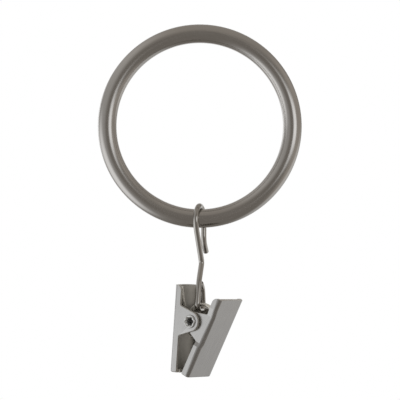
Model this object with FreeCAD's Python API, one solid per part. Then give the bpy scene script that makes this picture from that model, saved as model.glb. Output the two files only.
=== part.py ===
import FreeCAD
import Part
import math
import os

from FreeCAD import Placement, Rotation, Vector

# Curtain ring with a wire drop hook and a sprung clip, in millimetres.
# The ring stands in the XZ plane with its centre at the origin and its axis along Y.
# The hook hangs over the ring's lowest point, and its loop carries the clip by the spring's coil.

# Ring
ring_inside_d = 42.0
ring_bar_d = 4.75

# Drop hook: one round wire, drawn in its own upright plane as (across, height)
hook_wire_d = 1.4
hook_yaw = 16.0             # turn of the hook's plane about the vertical
hook_side_gap = 0.47        # room beside the ring's bar under the arch
hook_top_gap = 0.10         # room between the arch and the top of the bar
hook_back_leg = 5.7         # from the bar's centre down to where the tip flares
hook_tip_drop = 2.7
hook_tip_flare = 2.3
hook_tip_bend_r = 4.0
hook_front_leg = 1.9        # straight part of the front leg below the bar's centre
hook_front_bend_r = 5.0
hook_kink_drop = 11.0       # from the bar's centre down to the kink in the shank
hook_kink_across = 1.75
hook_kink_r = 1.6
hook_throat_drop = 4.5      # from the kink to where the loop's tip closes on the shank
hook_throat_across = -0.6
hook_throat_bend_r = 6.0
hook_throat_gap = 0.05      # between the loop's tip and the shank
hook_loop_height = 12.15    # from the kink to the middle of the loop's bottom wire
hook_loop_across = 0.3      # middle of the loop's bottom wire
hook_loop_gap = 0.72        # room between the loop's legs and the coil at the loop's foot
hook_loop_bend_r = 1.6
hook_shoulder_rise = 5.6    # shoulder of the far leg, above the loop's bottom and beside its middle
hook_shoulder_across = 2.05
hook_shoulder_bend_r = 3.0

# Clip: two like stamped jaws face each other, one pushed along the pivot past the other
clip_yaw = 37.0             # turn of the clip about the vertical
clip_lean = 16.4            # lean of the plane between the jaws
jaw_half_angle = 11.8       # each plate from the plane between the jaws
sheet = 0.8
bend_inside_r = 0.2
jaw_width = 10.0            # over both flanges of either jaw
jaw_shift = 0.5             # how far along the pivot the rear jaw sits past the front one
ear_side_gap = 0.10         # room between an inner ear and the outer ear beside it
plate_offset = 5.55         # from the pivot to a plate's outer face
handle_length = 8.9         # along a plate, from the pivot's foot up to the handle's end
handle_corner_r = 1.5
handle_arch = 0.15          # rise of a handle's end edge from its corners to its middle
jaw_length = 13.1           # along a plate, from the pivot's foot down to the lip
lip_gap = 0.15              # between the two lips at rest
foot_r = 0.45               # outer rounding where the plate turns in to the lip
lip_stand = 0.63            # how far a lip stands past the flanges beside it
lip_edge_r = 0.2
ear_r = 2.4
ear_taper = 19.0            # spread of an ear's edges towards the plate
ear_root_r = 0.6
waist_fade_low = 1.0        # length below and above an inner ear over which the jaw widens again
waist_fade_high = 2.2

# Pivot eyelet
eyelet_d = 2.4
eyelet_bore_d = 1.7
eyelet_flare_d = 3.4
eyelet_flare_rise = 0.45
eyelet_head_d = 3.6
eyelet_head_thick = 0.5
eyelet_petals = 6
eyelet_petal_cut_d = 0.42
eyelet_head_gap = 0.05      # between the head and the rear jaw's outer ear
front_hole_gap = 0.02
rear_hole_gap = 0.06

# Torsion spring
spring_wire_d = 0.75
spring_turns = 2.5          # between the two arms, when both plates stand upright
spring_turn_gap = 0.04
spring_arm_gap = 0.08       # between an arm and the plate it presses on
spring_arm_end = 0.5        # from the handle's end to the arm's end
spring_arm_side_gap = 0.15  # between an arm's end and the flange beside it
spring_lead = 0.9           # straight run between the coil and the bend of an arm
spring_bend_r = 1.2
seat_gap = 0.45             # between the coil's inside and the hook's bottom wire
seat_turn = 11.5            # where the coil rests on that wire, from the top towards the front jaw

# Worked-out values
cut_past = 1.0              # how far a cutting solid reaches past what it cuts
bend_r = bend_inside_r + sheet
waist = sheet + ear_side_gap - jaw_shift
lip_height = plate_offset - jaw_length * math.tan(math.radians(jaw_half_angle)) - lip_gap / 2
flange_height = lip_height - lip_stand
flange_x = -plate_offset + flange_height
front_turn = clip_lean - jaw_half_angle
rear_turn = clip_lean + jaw_half_angle
ear_taper_slope = math.tan(math.radians(ear_taper))
ear_tangent_x = ear_r * math.sin(math.radians(ear_taper))
ear_tangent_z = ear_r * math.cos(math.radians(ear_taper))
ear_root_z = ear_tangent_z + (ear_tangent_x - flange_x) * ear_taper_slope
spring_r = plate_offset - sheet - spring_arm_gap - spring_wire_d / 2
spring_pitch = spring_wire_d + spring_turn_gap
coil_turns = spring_turns - (rear_turn - front_turn) / 360
coil_width = spring_pitch * coil_turns + spring_wire_d
hook_r = hook_wire_d / 2
ring_r = (ring_inside_d + ring_bar_d) / 2
bar_z = -ring_r
arch_r = ring_bar_d / 2 + hook_side_gap + hook_r
arch_z = bar_z + ring_bar_d / 2 + hook_top_gap + hook_r - arch_r
kink_z = bar_z - hook_kink_drop
loop_z = kink_z - hook_loop_height
coil_skew = math.cos(math.radians(clip_yaw - hook_yaw))
loop_half = (coil_width / 2 + hook_loop_gap) / coil_skew + hook_r
seat_r = spring_r - spring_wire_d / 2 - seat_gap - hook_r

ORIGIN = Vector(0, 0, 0)
Y_AXIS = Vector(0, 1, 0)
Z_AXIS = Vector(0, 0, 1)
DIAGONAL = math.sqrt(0.5)


def turned(axis, degrees):
    return Placement(ORIGIN, Rotation(axis, degrees))


def moved(shape, placement):
    """A copy of the shape after the placement."""
    copy = shape.copy()
    copy.Placement = placement.multiply(copy.Placement)
    return copy


def face_from(outline):
    return Part.Face(Part.Wire([curve.toShape() for curve in outline]))


def rounded_path(points, radii):
    """Edges through the points, with a tangent arc of the given radius at each inner point."""
    edges = []
    start = points[0]
    for before, corner, after, radius in zip(points, points[1:], points[2:], radii):
        back = (before - corner).normalize()
        ahead = (after - corner).normalize()
        half_turn = back.getAngle(ahead) / 2
        reach = radius / math.tan(half_turn)
        middle = (back + ahead).normalize()
        arc_middle = corner + middle * (radius / math.sin(half_turn) - radius)
        arc_end = corner + ahead * reach
        edges.append(Part.LineSegment(start, corner + back * reach).toShape())
        edges.append(Part.Arc(corner + back * reach, arc_middle, arc_end).toShape())
        start = arc_end
    edges.append(Part.LineSegment(start, points[-1]).toShape())
    return edges


def wire_along(edges, diameter):
    """Round wire whose middle follows the edges."""
    first = edges[0]
    start = first.valueAt(first.FirstParameter)
    along = first.tangentAt(first.FirstParameter)
    section = Part.Wire(Part.makeCircle(diameter / 2, start, along))
    return Part.Wire(edges).makePipeShell([section], True, False)


def ring():
    return Part.makeTorus(ring_r, ring_bar_d / 2, ORIGIN, Y_AXIS)


def drop_hook():
    """One wire: flared tip, arch over the ring, slanting shank, kink and closed loop."""

    def at(across, height):
        return Vector(0, across, height)

    kink = at(hook_kink_across, kink_z)
    throat = at(hook_throat_across, kink_z - hook_throat_drop)
    shank_way = (kink - throat).normalize()
    beside_shank = Vector(0, shank_way.z, -shank_way.y)
    back = [
        at(arch_r + hook_tip_flare, bar_z - hook_back_leg - hook_tip_drop),
        at(arch_r, bar_z - hook_back_leg),
        at(arch_r, arch_z),
    ]
    arch = Part.Arc(back[-1], at(0, arch_z + arch_r), at(-arch_r, arch_z))
    front = [
        at(-arch_r, arch_z),
        at(-arch_r, bar_z - hook_front_leg),
        kink,
        throat,
        at(hook_loop_across - loop_half, loop_z),
        at(hook_loop_across + loop_half, loop_z),
        at(hook_loop_across + hook_shoulder_across, loop_z + hook_shoulder_rise),
        throat + beside_shank * (hook_wire_d + hook_throat_gap),
    ]
    front_radii = [hook_front_bend_r, hook_kink_r, hook_throat_bend_r,
                   hook_loop_bend_r, hook_loop_bend_r, hook_shoulder_bend_r]
    edges = rounded_path(back, [hook_tip_bend_r])
    edges.append(arch.toShape())
    edges += rounded_path(front, front_radii)
    return wire_along(edges, hook_wire_d)


def tray_section(waist_here, inset, height):
    """Section across a jaw: the plate at -X with a rounded corner and a flange each side."""
    face_x = -plate_offset + inset
    top_x = ear_r + cut_past + inset
    corner_r = bend_r - inset
    slope = corner_r * DIAGONAL
    centre_x = -plate_offset + bend_r
    plain_y = -jaw_width / 2 + inset
    waist_y = jaw_width / 2 - inset - waist_here

    def at(x, y):
        return Vector(x, y, height)

    outline = [
        Part.LineSegment(at(top_x, waist_y), at(centre_x, waist_y)),
        Part.Arc(at(centre_x, waist_y), at(centre_x - slope, waist_y - corner_r + slope),
                 at(face_x, waist_y - corner_r)),
        Part.LineSegment(at(face_x, waist_y - corner_r), at(face_x, plain_y + corner_r)),
        Part.Arc(at(face_x, plain_y + corner_r), at(centre_x - slope, plain_y + corner_r - slope),
                 at(centre_x, plain_y)),
        Part.LineSegment(at(centre_x, plain_y), at(top_x, plain_y)),
        Part.LineSegment(at(top_x, plain_y), at(top_x, waist_y)),
    ]
    return face_from(outline)


def tray_block(inset):
    """A jaw's outer form (inset 0) or its hollow (inset of one sheet), drawn in at the inner ear."""
    foot = -jaw_length + inset
    top = handle_length + handle_arch + inset
    heights = [foot, -ear_root_z - waist_fade_low, -ear_root_z,
               ear_root_z, ear_root_z + waist_fade_high, top]
    waists = [0, 0, waist, waist, 0, 0]
    sections = [tray_section(width, inset, height).OuterWire
                for width, height in zip(waists, heights)]
    lofts = [Part.makeLoft([low, high], True, True) for low, high in zip(sections, sections[1:])]
    block = lofts[0].fuse(lofts[1:]).removeSplitter()
    if inset:
        return block
    foot_edges = [edge for edge in block.Edges
                  if abs(edge.BoundBox.ZMin - foot) < 1e-6 and abs(edge.BoundBox.ZMax - foot) < 1e-6
                  and edge.CenterOfMass.x < ear_r]
    return block.makeFillet(foot_r, foot_edges)


def flange_prism():
    """The outline of a flange with its ear, seen along the pivot, as a prism across the jaw."""
    corner_r = min(handle_corner_r, flange_height)
    corner_x = flange_x - corner_r
    corner_z = handle_length - corner_r
    slope = corner_r * DIAGONAL
    out_x = -plate_offset - cut_past
    foot_z = -jaw_length - cut_past
    top_z = handle_length + handle_arch + cut_past

    def at(x, z):
        return Vector(x, -jaw_width / 2 - cut_past, z)

    outline = [
        Part.LineSegment(at(out_x, foot_z), at(flange_x, foot_z)),
        Part.LineSegment(at(flange_x, foot_z), at(flange_x, -ear_root_z)),
        Part.LineSegment(at(flange_x, -ear_root_z), at(ear_tangent_x, -ear_tangent_z)),
        Part.Arc(at(ear_tangent_x, -ear_tangent_z), at(ear_r, 0), at(ear_tangent_x, ear_tangent_z)),
        Part.LineSegment(at(ear_tangent_x, ear_tangent_z), at(flange_x, ear_root_z)),
        Part.LineSegment(at(flange_x, ear_root_z), at(flange_x, corner_z)),
        Part.Arc(at(flange_x, corner_z), at(corner_x + slope, corner_z + slope),
                 at(corner_x, handle_length)),
        Part.LineSegment(at(corner_x, handle_length), at(corner_x, top_z)),
        Part.LineSegment(at(corner_x, top_z), at(out_x, top_z)),
        Part.LineSegment(at(out_x, top_z), at(out_x, foot_z)),
    ]
    prism = face_from(outline).extrude(Y_AXIS * (jaw_width + 2 * cut_past))
    roots = [edge for edge in prism.Edges
             if abs(edge.CenterOfMass.x - flange_x) < 1e-6 and abs(edge.CenterOfMass.y) < 1e-6
             and abs(abs(edge.CenterOfMass.z) - ear_root_z) < 1e-6]
    return prism.makeFillet(ear_root_r, roots)


def handle_end_cutter():
    """What lies past the slightly arched end edge of a handle."""
    half = jaw_width / 2
    low = handle_length - handle_arch / 2
    high = low + handle_arch + cut_past

    def at(y, z):
        return Vector(-plate_offset - cut_past, y, z)

    outline = [
        Part.LineSegment(at(-half - cut_past, low), at(-half, low)),
        Part.Arc(at(-half, low), at(0, low + handle_arch), at(half, low)),
        Part.LineSegment(at(half, low), at(half + cut_past, low)),
        Part.LineSegment(at(half + cut_past, low), at(half + cut_past, high)),
        Part.LineSegment(at(half + cut_past, high), at(-half - cut_past, high)),
        Part.LineSegment(at(-half - cut_past, high), at(-half - cut_past, low)),
    ]
    return face_from(outline).extrude(Vector(plate_offset + ear_r + 2 * cut_past, 0, 0))


def lip():
    """The part of the turned-in lip that stands past the flanges, with an eased edge."""
    start_x = flange_x - sheet
    end_x = -plate_offset + lip_height
    half = jaw_width / 2 - bend_r
    block = Part.makeBox(end_x - start_x, 2 * half, sheet, Vector(start_x, -half, -jaw_length))
    end_edges = [edge for edge in block.Edges
                 if abs(edge.CenterOfMass.x - end_x) < 1e-6 and abs(edge.CenterOfMass.y) < 1e-6]
    return block.makeFillet(lip_edge_r, end_edges)


def jaw(hole_gap):
    """One stamped jaw in its own frame: plate upright at -X, outer ear at -Y, pivot along Y."""
    walls = tray_block(0).cut(tray_block(sheet))
    body = walls.common(flange_prism()).cut(handle_end_cutter())
    body = body.fuse(lip())
    hole = Part.makeCylinder(eyelet_d / 2 + hole_gap, jaw_width + 2 * cut_past,
                             Vector(0, -jaw_width / 2 - cut_past, 0), Y_AXIS)
    return body.cut(hole).removeSplitter()


def pivot_eyelet():
    """Hollow eyelet turned about Y: flared, star-set mouth on the near side, head on the far side."""
    shank = eyelet_d / 2
    bore = eyelet_bore_d / 2
    flare = eyelet_flare_d / 2
    head = eyelet_head_d / 2
    near = -jaw_width / 2
    far = jaw_width / 2 + jaw_shift + eyelet_head_gap
    crest = (flare + shank) / 2
    crest_y = near - eyelet_flare_rise
    rim_r = flare - crest
    throat_y = near + eyelet_flare_rise
    end_y = far + eyelet_head_thick
    head_flat = head - eyelet_head_thick
    head_slope = eyelet_head_thick * DIAGONAL

    def at(radius, y):
        return Vector(radius, y, 0)

    mouth_middle = at(bore + (crest - bore) * (1 - DIAGONAL), near)
    outline = [
        Part.LineSegment(at(shank, near), at(flare, near)),
        Part.Arc(at(flare, near), at(crest + rim_r * DIAGONAL, near - eyelet_flare_rise * DIAGONAL),
                 at(crest, crest_y)),
        Part.Arc(at(crest, crest_y), mouth_middle, at(bore, throat_y)),
        Part.LineSegment(at(bore, throat_y), at(bore, end_y)),
        Part.LineSegment(at(bore, end_y), at(head_flat, end_y)),
        Part.Arc(at(head_flat, end_y), at(head_flat + head_slope, far + head_slope), at(head, far)),
        Part.LineSegment(at(head, far), at(shank, far)),
        Part.LineSegment(at(shank, far), at(shank, near)),
    ]
    body = face_from(outline).revolve(ORIGIN, Y_AXIS, 360)
    cuts = []
    for petal in range(eyelet_petals):
        angle = 2 * math.pi * petal / eyelet_petals
        foot = Vector(crest * math.cos(angle), crest_y - cut_past, crest * math.sin(angle))
        cuts.append(Part.makeCylinder(eyelet_petal_cut_d / 2, cut_past + eyelet_flare_rise / 2,
                                      foot, Y_AXIS))
    return body.cut(cuts)


def spring_arm(foot, along, plate_turn, end_y):
    """Edges of one arm: a short lead on from the coil, a bend, and a straight run up a handle."""
    up = turned(Y_AXIS, plate_turn).multVec(Z_AXIS)
    lead_end = foot + along * spring_lead
    end = lead_end + up * (handle_length - spring_arm_end - lead_end.dot(up))
    end.y = end_y
    return rounded_path([foot, lead_end, end], [spring_bend_r])


def torsion_spring():
    """One wire: close coil round the pivot, with an arm flat behind the front and the rear handle."""
    length = spring_pitch * coil_turns
    lay_down = Placement(Vector(0, -length / 2, 0), Rotation(Vector(1, 0, 0), -90))
    helix = moved(Part.makeHelix(spring_pitch, length, spring_r, 0, True), lay_down)
    start = helix.Edges[0].valueAt(helix.Edges[0].FirstParameter)
    start_turn = math.degrees(math.atan2(start.x, start.z))
    helix = moved(helix, turned(Y_AXIS, front_turn - 90 - start_turn))
    first = helix.Edges[0]
    last = helix.Edges[-1]
    arm_room = jaw_width / 2 - sheet - spring_arm_side_gap - spring_wire_d / 2
    front_arm = spring_arm(first.valueAt(first.FirstParameter),
                           first.tangentAt(first.FirstParameter) * -1, front_turn, -arm_room)
    rear_arm = spring_arm(last.valueAt(last.LastParameter), last.tangentAt(last.LastParameter),
                          rear_turn, arm_room + jaw_shift)
    front_end = front_arm[-1].valueAt(front_arm[-1].LastParameter)
    section = Part.Wire(Part.makeCircle(spring_wire_d / 2, front_end,
                                        front_arm[-1].tangentAt(front_arm[-1].LastParameter)))
    middle = Part.Wire(front_arm[::-1] + helix.Edges + rear_arm)
    return middle.makePipeShell([section], True, False)


def hook_placement():
    """From the hook's own plane to the object's frame."""
    return turned(Z_AXIS, -hook_yaw)


def clip_placement():
    """From the clip's frame (pivot along Y at the origin) to the object's frame."""
    yaw = Rotation(Z_AXIS, -clip_yaw)
    seat = turned(Y_AXIS, -seat_turn).multVec(Z_AXIS * seat_r)
    loop_middle = hook_placement().multVec(Vector(0, hook_loop_across, loop_z))
    return Placement(loop_middle - yaw.multVec(seat), yaw)


def build():
    """Every node in the object's frame, by name."""
    clip = clip_placement()
    facing = Placement(Y_AXIS * jaw_shift, Rotation(Z_AXIS, 180))
    front = moved(jaw(front_hole_gap), turned(Y_AXIS, front_turn))
    rear = moved(moved(jaw(rear_hole_gap), facing), turned(Y_AXIS, rear_turn))
    return {
        "ring": ring(),
        "drop_hook": moved(drop_hook(), hook_placement()),
        "front_jaw": moved(front, clip),
        "rear_jaw": moved(rear, clip),
        "pivot_eyelet": moved(pivot_eyelet(), clip),
        "torsion_spring": moved(torsion_spring(), clip),
    }


os.makedirs("parts", exist_ok=True)
for name, shape in build().items():
    shape.exportStep("parts/" + name + ".step")
    print(name, "solids:", len(shape.Solids), "valid:", shape.isValid(), "mm3:", round(shape.Volume, 2))
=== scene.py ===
# %% [markdown]
# # A curtain ring with a clip
#
# The object is all metal: a dark round ring, a wire hook that hangs on it, and a sprung clip.
# Nothing about it is coloured or soft, so its looks rest on three things: surfaces that are truly
# round, finishes that differ a little from piece to piece, and a studio that gives the metal
# something light and something dark to mirror.
#
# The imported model's frame is in metres: the ring's centre is the origin, Y is the ring's axis and
# Z is up. Sizes are easier to read in millimetres, so they are written that way, and MM turns them
# to metres.

import math

import bmesh
import bpy
import numpy as np
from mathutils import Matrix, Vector


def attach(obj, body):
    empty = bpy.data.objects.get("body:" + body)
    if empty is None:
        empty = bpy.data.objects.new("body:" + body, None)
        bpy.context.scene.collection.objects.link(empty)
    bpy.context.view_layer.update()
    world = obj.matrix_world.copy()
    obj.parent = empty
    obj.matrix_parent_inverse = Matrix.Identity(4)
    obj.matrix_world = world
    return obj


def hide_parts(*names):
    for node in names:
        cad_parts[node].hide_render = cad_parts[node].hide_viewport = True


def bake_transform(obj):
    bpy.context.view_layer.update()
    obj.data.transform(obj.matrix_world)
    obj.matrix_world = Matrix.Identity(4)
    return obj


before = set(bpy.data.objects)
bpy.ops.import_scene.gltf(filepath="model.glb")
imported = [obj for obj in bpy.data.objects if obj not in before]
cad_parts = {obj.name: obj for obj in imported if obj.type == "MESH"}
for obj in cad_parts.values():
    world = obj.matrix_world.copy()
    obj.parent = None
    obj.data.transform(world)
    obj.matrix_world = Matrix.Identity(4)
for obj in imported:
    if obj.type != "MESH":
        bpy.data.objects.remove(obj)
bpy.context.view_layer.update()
MM = 0.001

# %% [markdown]
# ## From a grid of numbers to a mesh
#
# Every round piece here can be written as a function of two numbers: how far along it we are, and
# how far around. Working that function out on a whole grid at once gives an array of points, and
# the faces are simply neighbouring points of the grid. Where the grid closes on itself, the last
# column joins the first. Where it ends in a point, the points are merged afterwards.
#
# The same two numbers make the piece's own UV map, in millimetres, so that a finish can follow the
# wire or the bar wherever it bends.

# %% Grid to mesh
same_point = 1e-7  # metres: points nearer to each other than this are one point


def surface(name, points, along_mm, around_mm, closed_along=False):
    """Mesh whose vertex (i, j) is points[i, j]; it closes in j, and in i where asked.

    Face (i, j) joins (i, j), (i+1, j), (i+1, j+1) and (i, j+1), with the indices wrapped.
    The UV map holds the distance along and around the piece in millimetres.
    """
    rows, columns = points.shape[:2]
    face_rows = rows if closed_along else rows - 1
    i, j = np.meshgrid(np.arange(face_rows), np.arange(columns), indexing="ij")
    corner_i = np.stack([i, i + 1, i + 1, i], -1).reshape(-1, 4)
    corner_j = np.stack([j, j, j + 1, j + 1], -1).reshape(-1, 4)
    corners = (corner_i % rows) * columns + corner_j % columns
    mesh = bpy.data.meshes.new(name)
    mesh.from_pydata(points.reshape(-1, 3), [], corners)
    uv = np.stack([along_mm[corner_i], around_mm[corner_j]], -1)
    mesh.uv_layers.new(name="run").data.foreach_set("uv", uv.astype(np.float32).ravel())
    edit = bmesh.new()
    edit.from_mesh(mesh)
    bmesh.ops.remove_doubles(edit, verts=edit.verts, dist=same_point)
    bmesh.ops.recalc_face_normals(edit, faces=edit.faces)
    edit.to_mesh(mesh)
    edit.free()
    mesh.polygons.foreach_set("use_smooth", np.ones(len(mesh.polygons), bool))
    piece = bpy.data.objects.new(name, mesh)
    bpy.context.scene.collection.objects.link(piece)
    print(name, "faces:", len(mesh.polygons))
    return piece


# %% [markdown]
# ## The ring
#
# The real ring is one round bar, rolled into a circle and welded shut so cleanly that the joint
# can't be seen. That is a torus, the plainest surface of two angles, and writing it out gives a
# smoother edge against the white background than a model with flat facets.

# %% Ring
ring_r = 23.375 * MM
bar_r = 2.375 * MM
ring_rows, ring_columns = 240, 48


def torus(rows, columns):
    """Point(a, b) = (R + r cos b) (cos a, 0, sin a) + r sin b (0, 1, 0)."""
    a = np.linspace(0, 2 * np.pi, rows, endpoint=False)[:, None]
    b = np.linspace(0, 2 * np.pi, columns, endpoint=False)[None, :]
    out = ring_r + bar_r * np.cos(b)
    return np.stack([out * np.cos(a), bar_r * np.sin(b) + 0 * a, out * np.sin(a)], -1)


ring = surface("ring_bar", torus(ring_rows, ring_columns),
               np.linspace(0, 2 * np.pi * ring_r / MM, ring_rows + 1),
               np.linspace(0, 2 * np.pi * bar_r / MM, ring_columns + 1), closed_along=True)
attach(ring, "ring")
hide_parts("ring")

# %% [markdown]
# ## Wire
#
# The hook and the spring are both round wire bent on a machine: straight runs joined by arcs. A
# path of that kind is easy to write down, and a circle carried along it makes the wire. The circle
# needs two directions across the path. A fixed reference direction gives the first of them at
# every point, because neither wire ever turns along its reference.
#
# A Blender curve with a round bevel would give a wire too. A grid is used because it keeps the
# distance along the wire, which the finish needs.
#
# A cut end isn't a sharp disc. Its rim is broken a little, so the circle shrinks through a small
# quarter round at both ends before it closes in a point.


# %% Paths
def unit(vectors):
    """Vectors of the same direction and of length 1."""
    return vectors / np.linalg.norm(vectors, axis=-1, keepdims=True)


def run_length(path):
    """Distance from the path's first point to each of its points, along the path."""
    return np.concatenate([[0], np.cumsum(np.linalg.norm(np.diff(path, axis=0), axis=1))])


def bent_path(points, radii, arc_steps=14):
    """Straight runs between the points, with a tangent arc of radius r at each inner point.

    At a corner with unit directions p and q to its neighbours, the arc's centre lies along p + q
    at r / sin(half angle), and the arc turns from -(p side) to -(q side) about it.
    """
    points = np.asarray(points, float)
    path = [points[:1]]
    for before, corner, after, radius in zip(points, points[1:], points[2:], radii):
        p, q = unit(before - corner), unit(after - corner)
        half = np.arccos(np.clip(p @ q, -1, 1)) / 2
        centre = corner + unit(p + q) * radius / np.sin(half)
        start = corner + p * radius / np.tan(half) - centre
        turn = np.linspace(0, np.pi - 2 * half, arc_steps)[:, None]
        path.append(centre + start * np.cos(turn) - p * radius * np.sin(turn))
    path.append(points[-1:])
    return np.concatenate(path)


# %% Wire
rim_share = 0.3  # size of a cut end's broken rim, as a share of the wire's radius
rim_steps = 5
repeated = 1e-9  # metres: a path's points nearer than this are the end of one run and the next


def wire(name, path, radius, reference, columns=24):
    """Point(s, b) = path(s) + r(s) (cos b n(s) + sin b t(s) x n(s)), n square to the tangent t.

    r(s) is the wire's radius R, apart from the ends. With e the size of the broken rim, it is
    R - e + e sin f there, at e (1 - cos f) from the end.
    """
    path = path[np.concatenate([[True], np.diff(run_length(path)) > repeated])]
    tangent = unit(np.gradient(path, run_length(path), axis=0))
    rim = rim_share * radius
    f = np.linspace(0, np.pi / 2, rim_steps)
    cap_r = np.concatenate([[0], radius - rim + rim * np.sin(f)])
    cap_in = np.concatenate([[0], rim * (1 - np.cos(f))])[:, None]
    head = path[0] + tangent[0] * cap_in
    tail = path[-1] - tangent[-1] * cap_in
    middle = np.concatenate([head, path[1:-1], tail[::-1]])
    way = np.concatenate([tangent[:1].repeat(len(head), 0), tangent[1:-1],
                          tangent[-1:].repeat(len(tail), 0)])
    radii = np.concatenate([cap_r, np.full(len(path) - 2, radius), cap_r[::-1]])
    n = unit(reference - (way @ reference)[:, None] * way)
    m = np.cross(way, n)
    b = np.linspace(0, 2 * np.pi, columns, endpoint=False)[None, :, None]
    circle = np.cos(b) * n[:, None] + np.sin(b) * m[:, None]
    return surface(name, middle[:, None] + radii[:, None, None] * circle, run_length(middle) / MM,
                   np.linspace(0, 2 * np.pi * radius / MM, columns + 1))


# %% [markdown]
# ## The drop hook
#
# One piece of wire does three jobs: an open hook over the ring, a shank with a kink in it, and a
# closed loop that carries the clip. It lies in one upright plane, turned a little to the left, so
# its points are written as (across, height) in millimetres and then turned into place.

# %% Drop hook
hook_yaw = math.radians(16)
hook_across = np.array([math.sin(hook_yaw), math.cos(hook_yaw), 0])
hook_square = np.array([math.cos(hook_yaw), -math.sin(hook_yaw), 0])
hook_wire_r = 0.7
arch_r, arch_z, arch_steps = 3.545, -23.745, 40
# From the tip behind the ring up to the arch, then from the arch down the shank and round the loop.
hook_back = [(5.845, -31.775), (arch_r, -29.075), (arch_r, arch_z)]
hook_front = [(-arch_r, arch_z), (-arch_r, -25.275), (1.75, -34.375), (-0.6, -38.875),
              (-2.603, -46.525), (3.203, -46.525), (2.35, -40.925), (0.6853, -39.5462)]
tip_bend = 4.0
hook_bends = [5.0, 1.6, 6.0, 1.6, 1.6, 3.0]


def in_hook_plane(points):
    """(across, height) in millimetres to a place in the frame."""
    points = np.asarray(points, float) * MM
    return points[:, :1] * hook_across + points[:, 1:] * np.array([0, 0, 1.0])


arch_turn = np.linspace(0, np.pi, arch_steps)
arch = np.stack([arch_r * np.cos(arch_turn), arch_z + arch_r * np.sin(arch_turn)], -1)
hook_path = np.concatenate([bent_path(hook_back, [tip_bend]), arch,
                            bent_path(hook_front, hook_bends)])
hook = wire("hook_wire", in_hook_plane(hook_path), hook_wire_r * MM, hook_square)
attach(hook, "hook")
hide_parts("drop_hook")

# %% [markdown]
# ## The clip's own frame
#
# The clip hangs turned to one side, so its pieces are easier to write in a frame of their own: the
# pivot at the origin, its axis along Y, the front jaw towards -X. One turn and one shift then put
# them in place.

# %% Clip frame
clip_yaw = math.radians(-37)
pivot = np.array([0.52374, -0.04397, -49.23939]) * MM
clip_turn = np.array([[math.cos(clip_yaw), -math.sin(clip_yaw), 0],
                      [math.sin(clip_yaw), math.cos(clip_yaw), 0],
                      [0, 0, 1]])
clip_x, pivot_axis = clip_turn[:, 0], clip_turn[:, 1]


def in_clip(points):
    """Millimetres in the clip's frame to a place in the model's frame."""
    return pivot + (np.asarray(points, float) * MM) @ clip_turn.T


print("pivot axis:", pivot_axis.round(3))

# %% [markdown]
# ## The torsion spring
#
# A few close turns of spring wire lie round the pivot, and each end runs up behind a handle and
# pushes it outwards. The coil is a helix, which is a circle that also moves along its axis. Each
# arm goes on from it along its tangent, then bends towards the flange beside it.
#
# The front arm leans with the front jaw and the rear arm with the rear jaw, and the turns of the
# coil lead from one to the other across its width.

# %% Torsion spring
spring_wire_r, spring_r, spring_pitch, spring_turns = 0.375, 4.295, 0.79, 2.43444
front_lean, rear_lean = math.radians(4.6), math.radians(28.2)
arm_lead, arm_bend, arm_top = 0.9, 1.2, 8.4
front_arm_y, rear_arm_y = -3.675, 4.175
coil_steps = 150


def coil(steps):
    """Point(a) = (r sin a, pitch (a0 - a) / 2 pi - half length, r cos a), from the front plate."""
    a = front_lean - np.pi / 2 - np.linspace(0, 2 * np.pi * spring_turns, steps)
    along = spring_pitch * ((a[0] - a) / (2 * np.pi) - spring_turns / 2)
    return np.stack([spring_r * np.sin(a), along, spring_r * np.cos(a)], -1)


def arm(foot, along, lean, end_y):
    """Lead along the coil's tangent, then a run up the plate that ends beside its flange."""
    up = np.array([math.sin(lean), 0, math.cos(lean)])
    lead_end = foot + along * arm_lead
    end = lead_end + up * (arm_top - lead_end @ up)
    end[1] = end_y
    return bent_path([foot, lead_end, end], [arm_bend])


turns = coil(coil_steps)
front_arm = arm(turns[0], unit(turns[0] - turns[1]), front_lean, front_arm_y)
rear_arm = arm(turns[-1], unit(turns[-1] - turns[-2]), rear_lean, rear_arm_y)
spring_path = np.concatenate([front_arm[::-1], turns, rear_arm])
spring = wire("spring_wire", in_clip(spring_path), spring_wire_r * MM, pivot_axis, columns=20)
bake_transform(spring)
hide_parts("torsion_spring")

# %% [markdown]
# ## The pivot eyelet
#
# A hollow rivet goes through all four ears. Its plain end is a low round head, and the other end
# is rolled over by a star-shaped punch, which splits and spreads the mouth into petals. Turning a
# profile about the pivot gives the body, and a ripple round the mouth gives the petals. The Screw
# modifier could turn a profile as well, but it would leave out the ripple.

# %% Pivot eyelet
near, far = -5.0, 5.55  # outer faces of the outermost ears
shank_r, bore_r, flare_r, head_r = 1.2, 0.85, 1.7, 1.8
roll_r, roll_height, mouth_depth = 0.25, 0.4, 0.5
head_round, head_dish = 0.5, 0.05
star_depth, star_end = 1.6, 2.5  # depth of the punch's star, and where the bore is round again
petals, petal_reach, petal_lift = 6, 0.11, 0.5
roll_share, star_share, throat_share = 0.25, 0.3, 0.9
eyelet_columns = 96
quarter = np.linspace(0, np.pi / 2, 7)[:, None]


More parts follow.
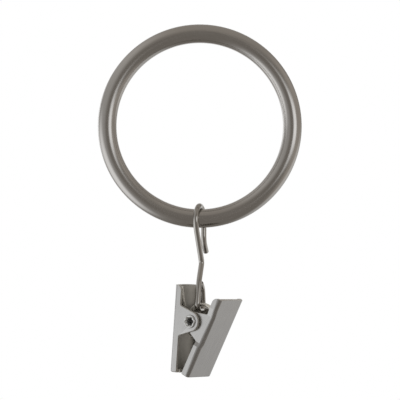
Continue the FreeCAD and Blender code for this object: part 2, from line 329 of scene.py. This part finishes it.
def eyelet_profile():
    """Rows of (radius, place along the pivot, share of the ripple), once round the section.

    The rolled rim and the head are quarter rounds. The mouth is a quarter of an ellipse that
    leads from the rim into the bore, and its ripple is largest half way.
    """
    rim_r = flare_r - roll_r
    roll = np.hstack([rim_r + roll_r * np.cos(quarter), near - roll_height * np.sin(quarter),
                      roll_share * np.sin(quarter)])
    mouth = np.hstack([bore_r + (rim_r - bore_r) * (1 - np.sin(quarter)),
                       near + mouth_depth - (mouth_depth + roll_height) * np.cos(quarter),
                       roll_share + (1 - roll_share) * np.sin(2 * quarter)])
    bore = np.array([[bore_r, near + star_depth, star_share], [bore_r, near + star_end, 0],
                     [bore_r, far + head_round - head_dish, 0]])
    head = np.hstack([head_r - head_round + head_round * np.sin(quarter),
                      far + head_round * np.cos(quarter), 0 * quarter])
    shank = np.array([[shank_r, far, 0], [shank_r, near, 0], [flare_r, near, 0]])
    return np.concatenate([roll, mouth[1:], bore, head, shank])


def turned_piece(profile, columns):
    """Point(k, b) = (R cos b, y, R sin b), where R is the profile's radius plus its ripple.

    The ripple is reach * share * cos(petals b). Outside the throat, where the share is largest,
    part of it also lifts the petals along the pivot.
    """
    radius, y, share = (column[:, None] for column in profile.T)
    b = np.linspace(0, 2 * np.pi, columns, endpoint=False)[None, :]
    ripple = petal_reach * share * np.cos(petals * b)
    lift = petal_lift * ripple * (share < throat_share)
    return np.stack([(radius + ripple) * np.cos(b), y + lift, (radius + ripple) * np.sin(b)], -1)


profile = eyelet_profile()
eyelet = surface("eyelet_barrel", in_clip(turned_piece(profile, eyelet_columns)),
                 run_length(profile[:, :2]),
                 np.linspace(0, 2 * np.pi * flare_r, eyelet_columns + 1))
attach(eyelet, "clip")
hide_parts("pivot_eyelet")

# %% [markdown]
# ## The jaws
#
# Both jaws are stamped from sheet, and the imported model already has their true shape: plate,
# flanges, ears and turned-in lip. Only their cut edges are too sharp. A press leaves them slightly
# rolled, and that tiny round is what catches the light, so a narrow bevel is laid over the model.
#
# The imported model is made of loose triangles, and a bevel needs edges that two faces share, so a
# weld comes first. Where two eased edges meet in a narrow corner, the bevel leaves points on top
# of each other, and a second weld merges those.

# %% Jaws
front_jaw, rear_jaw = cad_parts["front_jaw"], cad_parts["rear_jaw"]
edge_round = 0.15 * MM
sharp_from = math.radians(40)
triangle_gap, corner_gap = 1e-6, 2e-7  # metres: points nearer than this are merged
for jaw in (front_jaw, rear_jaw):
    joined = jaw.modifiers.new("weld", "WELD")
    joined.merge_threshold = triangle_gap
    eased = jaw.modifiers.new("eased_edges", "BEVEL")
    eased.width = edge_round
    eased.segments = 3
    eased.limit_method = "ANGLE"
    eased.angle_limit = sharp_from
    eased.harden_normals = True
    merged = jaw.modifiers.new("merged_corners", "WELD")
    merged.merge_threshold = corner_gap
    print(jaw.name, "faces:", len(jaw.data.polygons))

# %% [markdown]
# ## Materials
#
# A finish is built from few nodes, and one function adds each of them: it sets the node's own
# settings, its plain values and its links in one call. Colours are written as the sRGB hex values
# that one sees on a screen, and turned to the linear values that a renderer works with.


# %% Colour and node helpers
def linear(hex_colour):
    """sRGB hex to linear RGBA: c / 12.92 below 0.04045, ((c + 0.055) / 1.055) ^ 2.4 above."""
    c = np.array([int(hex_colour[k:k + 2], 16) for k in (1, 3, 5)]) / 255
    low, high = c / 12.92, ((c + 0.055) / 1.055) ** 2.4
    return (*np.where(c <= 0.04045, low, high).tolist(), 1.0)


def node(tree, kind, values=None, links=None, **settings):
    """Adds a node with its settings, its socket values and the sockets that feed it."""
    made = tree.nodes.new("ShaderNode" + kind)
    for name, value in settings.items():
        setattr(made, name, value)
    for socket, value in (values or {}).items():
        made.inputs[socket].default_value = value
    for socket, source in (links or {}).items():
        tree.links.new(source, made.inputs[socket])
    return made


def empty_material(name):
    """A new material with no nodes in it, and its tree."""
    material = bpy.data.materials.new(name)
    material.use_nodes = True
    material.node_tree.nodes.clear()
    return material, material.node_tree


def wear(piece, material):
    """Gives the piece this material in place of any other."""
    piece.data.materials.clear()
    piece.data.materials.append(material)


# %% [markdown]
# ### Worked metal
#
# Drawn wire, a polished bar and rolled sheet have one thing in common: fine lines run along them
# from the tool that made them. A noise that is stretched along the piece gives such lines, and a
# second, broad one makes the polish a little uneven, as it is on any real plating. Both change
# mainly how rough the metal is, because that is what the eye sees in a reflection.
#
# One metal isn't the same all over. Each area where it differs is a mask that is 1 there, and it
# blends the colour, the roughness and the metallic value towards that area's own.

# %% Worked metal
dull_share = 0.78  # light that a line's dull side gives back, against its bright side
line_depth, line_bump = 0.002 * MM, 0.06
fine_span, broad_span = (0.25, 0.75), (0.3, 0.7)  # nearly all of a noise's values lie in these


def worked_metal(name, colour, roughness, coordinates, line_mm, lines, patch_mm, patches,
                 areas=(), metallic=1.0):
    """Metal with fine lines in it and a soft unevenness over it.

    Roughness = roughness +- lines * noise(place / line_mm) +- patches * noise(place / patch_mm).
    The place is in millimetres. A noise of scale 1 has features about 1 unit wide, so dividing
    the place by the size of a feature gives that size.
    Each area is a mask(tree, place), with the colour, roughness and metallic value where it is 1.
    """
    material, tree = empty_material(name)
    place = coordinates(tree)
    fine = node(tree, "VectorMath", {1: tuple(1 / x for x in line_mm)}, {0: place},
                operation="MULTIPLY").outputs[0]
    fine = node(tree, "TexNoise", {"Scale": 1.0, "Detail": 3.0, "Roughness": 0.6},
                {"Vector": fine}).outputs["Fac"]
    broad = node(tree, "VectorMath", {1: (1 / patch_mm,) * 3}, {0: place},
                 operation="MULTIPLY").outputs[0]
    broad = node(tree, "TexNoise", {"Scale": 1.0, "Detail": 2.0}, {"Vector": broad}).outputs["Fac"]
    grain = node(tree, "MapRange", {"From Min": fine_span[0], "From Max": fine_span[1],
                                    "To Min": -lines, "To Max": lines}, {"Value": fine})
    uneven = node(tree, "MapRange", {"From Min": broad_span[0], "From Max": broad_span[1],
                                     "To Min": roughness - patches, "To Max": roughness + patches},
                  {"Value": broad})
    rough = node(tree, "Math", links={0: grain.outputs[0], 1: uneven.outputs[0]},
                 operation="ADD").outputs[0]
    bright = linear(colour)
    dull = (*(dull_share * x for x in bright[:3]), 1.0)
    tint = node(tree, "MixRGB", {"Color1": dull, "Color2": bright}, {"Fac": fine}).outputs[0]
    bump = node(tree, "Bump", {"Strength": line_bump, "Distance": line_depth}, {"Height": fine})
    shader = node(tree, "BsdfPrincipled", {"Metallic": metallic}, {"Normal": bump.outputs[0]})
    bare = {}
    for mask, area_colour, area_rough, area_metallic in areas:
        where = mask(tree, place)
        tint = node(tree, "MixRGB", {"Color2": linear(area_colour)},
                    {"Color1": tint, "Fac": where}).outputs[0]
        rough = node(tree, "MapRange", {"To Max": area_rough},
                     {"Value": where, "To Min": rough}).outputs[0]
        share = node(tree, "MapRange", {"To Min": metallic, "To Max": area_metallic},
                     {"Value": where, **bare}).outputs[0]
        bare = {"To Min": share}
        tree.links.new(share, shader.inputs["Metallic"])
    tree.links.new(tint, shader.inputs["Base Color"])
    tree.links.new(rough, shader.inputs["Roughness"])
    node(tree, "OutputMaterial", links={"Surface": shader.outputs[0]})
    print(name, "nodes:", len(tree.nodes))
    return material


# %% [markdown]
# ### Where a finish lies
#
# On the ring and the wires the lines follow the piece, so they read its own UV map. A jaw is a
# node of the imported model, without such a map. Its finish reads Object coordinates, shifted to the
# pivot and turned so that Z runs up the jaw's plate and Y along the pivot, in millimetres.


# %% Coordinates
def along_run(tree):
    """The piece's own UV map: millimetres along and around it."""
    return node(tree, "UVMap", uv_map="run").outputs["UV"]


def in_jaw(lean):
    """Object coordinates in millimetres: Z along a jaw's plate, Y along the pivot."""
    def coordinates(tree):
        place = node(tree, "TexCoord").outputs["Object"]
        place = node(tree, "VectorMath", {1: tuple(pivot)}, {0: place},
                     operation="SUBTRACT").outputs[0]
        place = node(tree, "VectorRotate", {"Angle": -clip_yaw, "Axis": (0, 0, 1)},
                     {"Vector": place}).outputs[0]
        place = node(tree, "VectorRotate", {"Angle": -lean, "Axis": (0, 1, 0)},
                     {"Vector": place}).outputs[0]
        return node(tree, "VectorMath", {1: (1 / MM,) * 3}, {0: place},
                    operation="MULTIPLY").outputs[0]
    return coordinates


# %% [markdown]
# ### Inside and edges of a jaw
#
# The inside of a jaw is given painted shade: a browner, more matt finish that darkens the fold
# between the flanges. A sheared edge is torn and rough. Both areas can be told by where they lie in
# the jaw, and an edge also by the way it faces. Each limit below lies a little off the face that it
# is meant for, so that rounding can't make the mask flicker.

# %% Inside of a jaw
plate_inside, flange_inside = -4.78, 4.23  # millimetres from the pivot, and from the middle


def inside_jaw(side, middle):
    """1 past the plate's inner face and between the inner faces of the flanges: where shade is
    painted.
    """
    def mask(tree, place):
        x, y, _ = node(tree, "SeparateXYZ", links={"Vector": place}).outputs
        depth = node(tree, "Math", {1: side}, {0: x}, operation="MULTIPLY").outputs[0]
        past_plate = node(tree, "Math", {1: plate_inside}, {0: depth},
                          operation="GREATER_THAN").outputs[0]
        across = node(tree, "Math", {1: middle}, {0: y}, operation="SUBTRACT").outputs[0]
        across = node(tree, "Math", links={0: across}, operation="ABSOLUTE").outputs[0]
        between = node(tree, "Math", {1: flange_inside}, {0: across},
                       operation="LESS_THAN").outputs[0]
        return node(tree, "Math", links={0: past_plate, 1: between},
                    operation="MULTIPLY").outputs[0]
    return mask


# %% Edges of a jaw
edge_depth, edge_across, handle_end = -4.6, 3.75, 8.3  # millimetres from the pivot
not_sideways = {"From Min": 0.8, "From Max": 0.4}  # of the part of the normal along the pivot
upwards = {"From Min": 0.5, "From Max": 0.9}  # of its part up the plate


def sheared_edge(side, lean):
    """1 on the cut edges of a jaw, which face neither along the pivot nor out of the plate.

    They lie past the plate's inner face and in the thickness of a flange, or at the end of the
    handle, where they face up the plate.
    """
    up = clip_turn @ np.array([math.sin(lean), 0, math.cos(lean)])

    def mask(tree, place):
        facing = node(tree, "TexCoord").outputs["Normal"]
        x, y, z = node(tree, "SeparateXYZ", links={"Vector": place}).outputs
        sideways = node(tree, "VectorMath", {1: tuple(pivot_axis)}, {0: facing},
                        operation="DOT_PRODUCT").outputs["Value"]
        sideways = node(tree, "Math", links={0: sideways}, operation="ABSOLUTE").outputs[0]
        depth = node(tree, "Math", {1: side}, {0: x}, operation="MULTIPLY").outputs[0]
        across = node(tree, "Math", links={0: y}, operation="ABSOLUTE").outputs[0]
        cut = node(tree, "MapRange", not_sideways, {"Value": sideways}).outputs[0]
        upward = node(tree, "VectorMath", {1: tuple(up)}, {0: facing},
                      operation="DOT_PRODUCT").outputs["Value"]
        end = node(tree, "MapRange", upwards, {"Value": upward}).outputs[0]
        for measure, limit in ((depth, edge_depth), (across, edge_across)):
            past = node(tree, "Math", {1: limit}, {0: measure}, operation="GREATER_THAN").outputs[0]
            cut = node(tree, "Math", links={0: cut, 1: past}, operation="MULTIPLY").outputs[0]
        past = node(tree, "Math", {1: handle_end}, {0: z}, operation="GREATER_THAN").outputs[0]
        end = node(tree, "Math", links={0: end, 1: past}, operation="MULTIPLY").outputs[0]
        return node(tree, "Math", links={0: cut, 1: end}, operation="MAXIMUM").outputs[0]
    return mask


# %% [markdown]
# ### Finishes
#
# All pieces are plated steel or brass, and they differ in how smooth they are. The ring and the
# hook are polished, the sheet of the jaws is satin. Worn or thin plating has a dull film on it,
# which mirrors less and scatters more: a metallic value below 1 stands for that on the eyelet, the
# spring and the edges of the jaws. Inside the jaws, a metallic value below 1 and a browner colour
# are painted shade in the fold.
#
# The real lines of polishing, drawing and rolling are a few hundredths of a millimetre wide, too
# fine to show, so all of them are drawn 0.3 to 0.5 mm wide.

# %% Finishes of ring and hook
# Dark pewter plate, polished along the bar: a warm grey, with soft edges to what it mirrors.
wear(ring, worked_metal("satin_pewter_plate", "#AEAAA5", 0.18, along_run,
                        line_mm=(14.0, 0.35, 1.0), lines=0.03, patch_mm=7.0, patches=0.03))
# Drawn and plated wire: a little smoother than the ring, so light and dark run along it in streaks.
wear(hook, worked_metal("bright_plated_wire", "#A8A49E", 0.15, along_run,
                        line_mm=(5.0, 0.4, 1.0), lines=0.015, patch_mm=3.0, patches=0.02))

# %% Finishes of the clip
# Satin nickel on rolled sheet: the faint lines run along the jaws and break up the reflections.
rolled_mm = (0.5, 0.5, 10.0)
# Inside the fold, painted shade: a browner, more matt finish darkens it. The sheared edges are
# rougher still.
painted_inside_shade, torn_edge = ("#A29E96", 0.42, 0.5), ("#A29D94", 0.45, 0.4)
# The rear jaw is turned round, and its middle lies 0.5 mm further along the pivot.
for jaw, name, side, lean, middle in ((front_jaw, "satin_nickel_front", 1, front_lean, 0),
                                      (rear_jaw, "satin_nickel_rear", -1, rear_lean, 0.5)):
    areas = [(inside_jaw(side, middle), *painted_inside_shade), (sheared_edge(side, lean), *torn_edge)]
    wear(jaw, worked_metal(name, "#A5A3A0", 0.26, in_jaw(lean), line_mm=rolled_mm, lines=0.04,
                           patch_mm=2.5, patches=0.03, areas=areas))
# Thin nickel on brass: smooth where the punch rolled it, so the petals catch small bright points.
wear(eyelet, worked_metal("nickel_eyelet", "#BEBDBA", 0.24, along_run, line_mm=(0.6, 0.3, 1.0),
                          lines=0.02, patch_mm=1.0, patches=0.02, metallic=0.8))
# Hard spring wire: a pale line on the side that faces the light, warmer than the nickel beside it.
wear(spring, worked_metal("plated_spring_wire", "#E2DED5", 0.22, along_run,
                          line_mm=(5.0, 0.4, 1.0), lines=0.015, patch_mm=2.0, patches=0.02,
                          metallic=0.65))

# %% [markdown]
# ## Studio
#
# Metal shows its surroundings more than itself. The background is white, and the rims of the round
# bars mirror it. Everything else that they mirror is the studio around the camera: a dim warm room
# gives each bar the dark band along its middle, a strip lamp to the right draws the thin bright
# line, and a pale wall with a cool window low on the left and a pale corner low on the right
# behind brighten the sides.
#
# Lamps would light the object as well, and more light isn't wanted. So the room is painted on a
# large dome that only reflections see, and one lamp and the white world give the plain light.

# %% World
fill_strength, shown_strength = 0.6, 1.0
world = bpy.data.worlds.new("white_studio")
bpy.context.scene.world = world
world.use_nodes = True
tree = world.node_tree
tree.nodes.clear()
rays = node(tree, "LightPath").outputs
seen = rays["Is Camera Ray"]
for kind in ("Is Glossy Ray", "Is Transmission Ray"):
    seen = node(tree, "Math", links={0: seen, 1: rays[kind]}, operation="MAXIMUM").outputs[0]
strength = node(tree, "MapRange", {"To Min": fill_strength, "To Max": shown_strength},
                {"Value": seen})
light = node(tree, "Background", {"Color": (1, 1, 1, 1)}, {"Strength": strength.outputs[0]})
node(tree, "OutputWorld", links={"Surface": light.outputs[0]})
print("world nodes:", len(tree.nodes))

# %% Light of the dome
# Direction of a light's middle, cosines of the angles where it begins and is full, and its
# strength outside and inside.
wall = ((-1, 0, 0), 0.15, 0.75, 0, 0.33)
window = ((-0.905, -0.04, -0.42), 0.72, 1.0, 0, 1.05)
corner = ((0.743, 0.442, -0.502), 0.8, 0.97, 0, 0.5)
right_side = ((1, 0, 0), 0.55, 0.9, 0, 0.25)
room_and_ceiling = ((0, 0, 1), 0.2, 0.95, 0.32, 0.52)
cool_light, warm_light = "#F4F9FF", "#FFF8F0"
# The strip lamp stands 34 degrees to the right. Its two rows are the direction across it or along
# it, its middle that way, and how far from there its light ends and is full.
strip_strength = 1.6
strip_sides = (((0.829, 0.559, 0), 0, 0.45, 0.14), ((0, 0, 1), 0.075, 0.32, 0.05))


def dome_light(tree):
    """Light in direction d = cool (strip + wall + window + corner) + warm (room + right side).

    Each light goes from outside to inside by a smooth step of d . its direction, and the strip is
    its strength times two smooth steps of |d . a side's direction - its middle|.
    """
    place = node(tree, "TexCoord").outputs["Object"]
    way = node(tree, "VectorMath", links={0: place}, operation="NORMALIZE").outputs[0]
    product = {}
    for direction, middle, end, full in strip_sides:
        off = node(tree, "VectorMath", {1: direction}, {0: way}, operation="DOT_PRODUCT")
        off = node(tree, "Math", {1: middle}, {0: off.outputs["Value"]}, operation="SUBTRACT")
        off = node(tree, "Math", links={0: off.outputs[0]}, operation="ABSOLUTE").outputs[0]
        step = node(tree, "MapRange", {"From Min": end, "From Max": full}, {"Value": off},
                    interpolation_type="SMOOTHSTEP").outputs[0]
        strip = node(tree, "Math", {0: strip_strength}, {1: step, **product},
                     operation="MULTIPLY").outputs[0]
        product = {0: strip}
    tinted = []
    for tint, total, lights in ((cool_light, strip, (wall, window, corner)),
                                (warm_light, None, (room_and_ceiling, right_side))):
        for direction, begin, full, outside, inside in lights:
            near_to = node(tree, "VectorMath", {1: direction}, {0: way}, operation="DOT_PRODUCT")
            glow = node(tree, "MapRange", {"From Min": begin, "From Max": full,
                                           "To Min": outside, "To Max": inside},
                        {"Value": near_to.outputs["Value"]},
                        interpolation_type="SMOOTHSTEP").outputs[0]
            total = glow if total is None else node(tree, "Math", links={0: total, 1: glow},
                                                    operation="ADD").outputs[0]
        tinted.append(node(tree, "MixRGB", {"Fac": 1.0, "Color2": linear(tint)},
                           {"Color1": total}, blend_type="MULTIPLY").outputs[0])
    return node(tree, "MixRGB", {"Fac": 1.0}, {"Color1": tinted[0], "Color2": tinted[1]},
                blend_type="ADD").outputs[0]


# %% Dome
dome_r, dome_reach = 0.4, 145  # metres, and degrees from the camera's side
dome_rows, dome_columns = 40, 64


def dome_points(rows, columns):
    """Point(t, a) = D (sin t cos a, -cos t, sin t sin a), t the angle from the camera's side."""
    t = np.radians(np.linspace(0, dome_reach, rows))[:, None]
    a = np.linspace(0, 2 * np.pi, columns, endpoint=False)[None, :]
    return dome_r * np.stack([np.sin(t) * np.cos(a), -np.cos(t) + 0 * a, np.sin(t) * np.sin(a)], -1)


dome = surface("studio_dome", dome_points(dome_rows, dome_columns),
               np.linspace(0, dome_reach, dome_rows), np.linspace(0, 360, dome_columns + 1))
dome.visible_camera = dome.visible_diffuse = dome.visible_shadow = False
material, tree = empty_material("studio_dome")
glow = node(tree, "Emission", {"Strength": 1.0}, {"Color": dome_light(tree)})
node(tree, "OutputMaterial", links={"Surface": glow.outputs[0]})
material.cycles.emission_sampling = "NONE"
wear(dome, material)

# %% Lamp
key_place, key_aim = Vector((-0.3, -0.4, 0.7)), Vector((0, 0, -0.05))
key_light = bpy.data.lights.new("key", "AREA")
key_light.size, key_light.energy = 0.5, 4.0
key = bpy.data.objects.new("key", key_light)
key.location = key_place
key.rotation_euler = (key_aim - key_place).to_track_quat("-Z", "Y").to_euler()
key.visible_glossy = False
bpy.context.scene.collection.objects.link(key)
print("key lamp watts:", key_light.energy)

# %% [markdown]
# ## Floor
#
# A pale floor below the clip keeps the object's shadow. It has to end somewhere, and an edge would
# show against the white, so it fades out before it gets there.

# %% Floor
floor_z, floor_half = -0.11, 0.6
fade_from, fade_to = 0.3, 0.55
floor_corners = np.array([(-1, -1, 0), (1, -1, 0), (1, 1, 0), (-1, 1, 0)]) * floor_half
floor_mesh = bpy.data.meshes.new("floor")
floor_mesh.from_pydata(floor_corners + (0, 0, floor_z), [], [(0, 1, 2, 3)])
floor = bpy.data.objects.new("floor", floor_mesh)
bpy.context.scene.collection.objects.link(floor)
floor.visible_glossy = False
material, tree = empty_material("pale_floor")
place = node(tree, "TexCoord").outputs["Object"]
reach = node(tree, "VectorMath", links={0: place}, operation="LENGTH").outputs["Value"]
fade = node(tree, "MapRange", {"From Min": fade_from, "From Max": fade_to}, {"Value": reach})
pale = node(tree, "BsdfDiffuse", {"Color": linear("#F2F1EE")})
clear = node(tree, "BsdfTransparent")
both = node(tree, "MixShader", links={0: fade.outputs[0], 1: pale.outputs[0], 2: clear.outputs[0]})
node(tree, "OutputMaterial", links={"Surface": both.outputs[0]})
wear(floor, material)
print("floor at:", floor_z)

# %% [markdown]
# ## Camera
#
# The photograph was taken from straight in front and very slightly below, from some way off: the
# two sides of the clip are almost parallel. A long lens at a little over half a metre gives that.

# %% Camera
scene = bpy.context.scene
scene.view_settings.view_transform = "Standard"
camera_data = bpy.data.cameras.new("camera")
camera_data.sensor_width = 36
camera_data.lens = 200
camera = bpy.data.objects.new("camera", camera_data)
scene.collection.objects.link(camera)
scene.camera = camera
frame_width = 100.8 * MM
distance = frame_width * camera_data.lens / camera_data.sensor_width
look_up = math.radians(2.5)
target = Vector((0.05 * MM, 0, -18.7 * MM))
look = Vector((0, math.cos(look_up), math.sin(look_up)))
camera.location = target - look * distance
camera.rotation_euler = look.to_track_quat("-Z", "Y").to_euler()
print("camera distance:", round(distance, 3))
